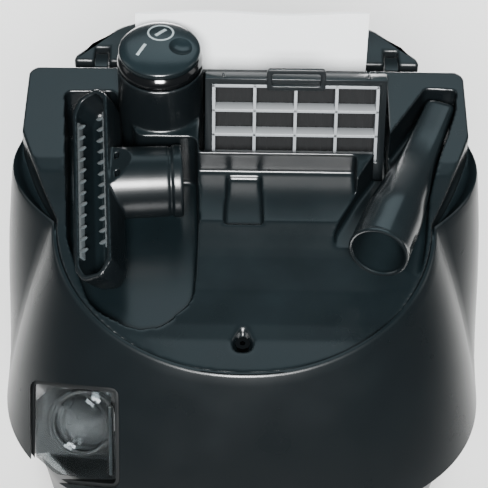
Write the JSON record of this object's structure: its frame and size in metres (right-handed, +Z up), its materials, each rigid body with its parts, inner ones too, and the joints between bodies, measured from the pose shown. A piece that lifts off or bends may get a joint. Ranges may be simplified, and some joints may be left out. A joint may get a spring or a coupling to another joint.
{
  "type": "shop vacuum cleaner",
  "caption": "Wheeled wet and dry vacuum: round-nosed drum, motor head with tool tray, rotary switch, filter cassette, covered power outlet and fold-back handle.",
  "frame": {"origin": "centre of the overall bounding box, on the floor under the wheels", "axes": "+Z up, +Y towards the rear wheels and the carry handle, -Y towards the hose inlet, +X to the side of the motor head that carries the crevice nozzle"},
  "size_m": [0.352, 0.352, 0.4759],
  "materials": {
    "body_plastic": "satin, fine moulded grain",
    "handle_plastic": "satin",
    "chassis_plastic": "matt",
    "tank_plastic": "satin",
    "tyre_rubber": "matt",
    "hub_plastic": "satin",
    "seal_rubber": "matt",
    "steel": "plain zinc plated",
    "core_steel": "laminated, varnished",
    "fan_metal": "as cast",
    "fan_plastic": "plain",
    "filter_paper": "pleated filter paper",
    "filter_foam": "dark pleated filter cloth",
    "filter_cap_plastic": "plain",
    "knob_gloss": "gloss",
    "knob_plastic": "satin gloss",
    "grid_plastic": "satin",
    "frame_plastic": "satin",
    "bag_paper": "soft uncoated paper",
    "comb_rubber": "matt",
    "tool_gloss": "semi gloss",
    "outlet_plastic": "satin",
    "clear_plastic": "clear smoked polycarbonate"
  },
  "bodies": {
    "housing": {"chassis": "chassis_plastic", "tank": "tank_plastic", "hose_port": "chassis_plastic", "rear_axle": "steel", "tank_gasket": "seal_rubber", "head_plate": "chassis_plastic", "hood": "body_plastic", "deck": "body_plastic", "deck_screw": "steel", "exhaust_grille": "chassis_plastic", "cable_gland": "chassis_plastic", "motor_casing": "chassis_plastic", "motor_bracket": "steel", "stator": "core_steel", "bearing_lower": "steel", "bearing_upper": "steel", "cartridge_filter": "filter_paper", "filter_cap": "filter_cap_plastic", "float_cage": "filter_cap_plastic", "knob_collar": "knob_gloss", "switch_body": "chassis_plastic", "socket_tray": "chassis_plastic", "power_outlet": "outlet_plastic", "earth_clip_upper": "steel", "earth_clip_lower": "steel", "flap_pin": "steel", "handle_pin_left": "steel", "handle_pin_right": "steel", "latch_pin_left": "steel", "latch_pin_right": "steel"},
    "wheel_left": {"rear_tyre_left": "tyre_rubber", "rear_hub_left": "hub_plastic"},
    "wheel_right": {"rear_tyre_right": "tyre_rubber", "rear_hub_right": "hub_plastic"},
    "castor_left": {"castor_fork_left": "chassis_plastic", "castor_axle_left": "steel"},
    "castor_right": {"castor_fork_right": "chassis_plastic", "castor_axle_right": "steel"},
    "roller_left": {"castor_wheel_left": "tyre_rubber"},
    "roller_right": {"castor_wheel_right": "tyre_rubber"},
    "knob": {"knob_cap": "knob_plastic"},
    "flap": {"socket_flap": "clear_plastic"},
    "cassette": {"cassette_frame": "frame_plastic", "cassette_grid": "grid_plastic", "cassette_pleats": "filter_foam", "cassette_loop": "frame_plastic"},
    "bag": {"paper_bag": "bag_paper"},
    "brush_tool": {"upholstery_nozzle": "body_plastic", "lint_comb_right": "comb_rubber", "lint_comb_left": "comb_rubber"},
    "crevice_tool": {"crevice_nozzle": "tool_gloss"},
    "handle": {"carry_handle": "handle_plastic"},
    "clamp_left": {"latch_left": "body_plastic"},
    "clamp_right": {"latch_right": "body_plastic"},
    "motor_spindle": {"rotor": "core_steel", "impeller": "fan_metal", "cooling_fan": "fan_plastic"},
    "float": {"float_ball": "fan_plastic"}
  },
  "joints": [
    {"name": "wheel_left_turn", "type": "hinge", "parent": "housing", "child": "wheel_left", "pos_m": [-0.162, 0.11, 0.055], "axis": [1, 0, 0], "continuous": true},
    {"name": "wheel_right_turn", "type": "hinge", "parent": "housing", "child": "wheel_right", "pos_m": [0.162, 0.11, 0.055], "axis": [1, 0, 0], "continuous": true},
    {"name": "castor_left_swivel", "type": "hinge", "parent": "housing", "child": "castor_left", "pos_m": [-0.092, -0.12, 0.045], "axis": [0, 0, 1], "continuous": true},
    {"name": "castor_right_swivel", "type": "hinge", "parent": "housing", "child": "castor_right", "pos_m": [0.092, -0.12, 0.045], "axis": [0, 0, 1], "continuous": true},
    {"name": "roller_left_turn", "type": "hinge", "parent": "castor_left", "child": "roller_left", "pos_m": [-0.092, -0.104, 0.022], "axis": [1, 0, 0], "continuous": true},
    {"name": "roller_right_turn", "type": "hinge", "parent": "castor_right", "child": "roller_right", "pos_m": [0.092, -0.104, 0.022], "axis": [1, 0, 0], "continuous": true},
    {"name": "knob_turn", "type": "hinge", "parent": "housing", "child": "knob", "pos_m": [-0.0597, 0.077, 0.465], "axis": [0, 0, 1], "range_deg": [0, 90]},
    {"name": "flap_swing", "type": "hinge", "parent": "housing", "child": "flap", "pos_m": [-0.0872, -0.1414, 0.316], "axis": [0, 0.4226, 0.9063], "range_deg": [0, 110]},
    {"name": "cassette_lift", "type": "slide", "parent": "housing", "child": "cassette", "axis": [0, 0.2588, 0.9659], "range_m": [0, 0.09]},
    {"name": "bag_lift", "type": "slide", "parent": "housing", "child": "bag", "axis": [0, 0, 1], "range_m": [0, 0.08]},
    {"name": "brush_tool_lift", "type": "slide", "parent": "housing", "child": "brush_tool", "axis": [0, 0, 1], "range_m": [0, 0.08]},
    {"name": "crevice_tool_lift", "type": "slide", "parent": "housing", "child": "crevice_tool", "axis": [0, 0, 1], "range_m": [0, 0.08]},
    {"name": "handle_raise", "type": "hinge", "parent": "housing", "child": "handle", "pos_m": [0, 0.13, 0.41], "axis": [1, 0, 0], "range_deg": [0, 88]},
    {"name": "clamp_left_swing", "type": "hinge", "parent": "housing", "child": "clamp_left", "pos_m": [-0.157, -0.016, 0.228], "axis": [0, -1, 0], "range_deg": [0, 32]},
    {"name": "clamp_right_swing", "type": "hinge", "parent": "housing", "child": "clamp_right", "pos_m": [0.157, -0.016, 0.228], "axis": [0, 1, 0], "range_deg": [0, 32]},
    {"name": "spindle_turn", "type": "hinge", "parent": "housing", "child": "motor_spindle", "pos_m": [0, -0.026, 0.315], "axis": [0, 0, 1], "continuous": true},
    {"name": "float_rise", "type": "slide", "parent": "housing", "child": "float", "axis": [0, 0, 1], "range_m": [0, 0.018]}
  ]
}
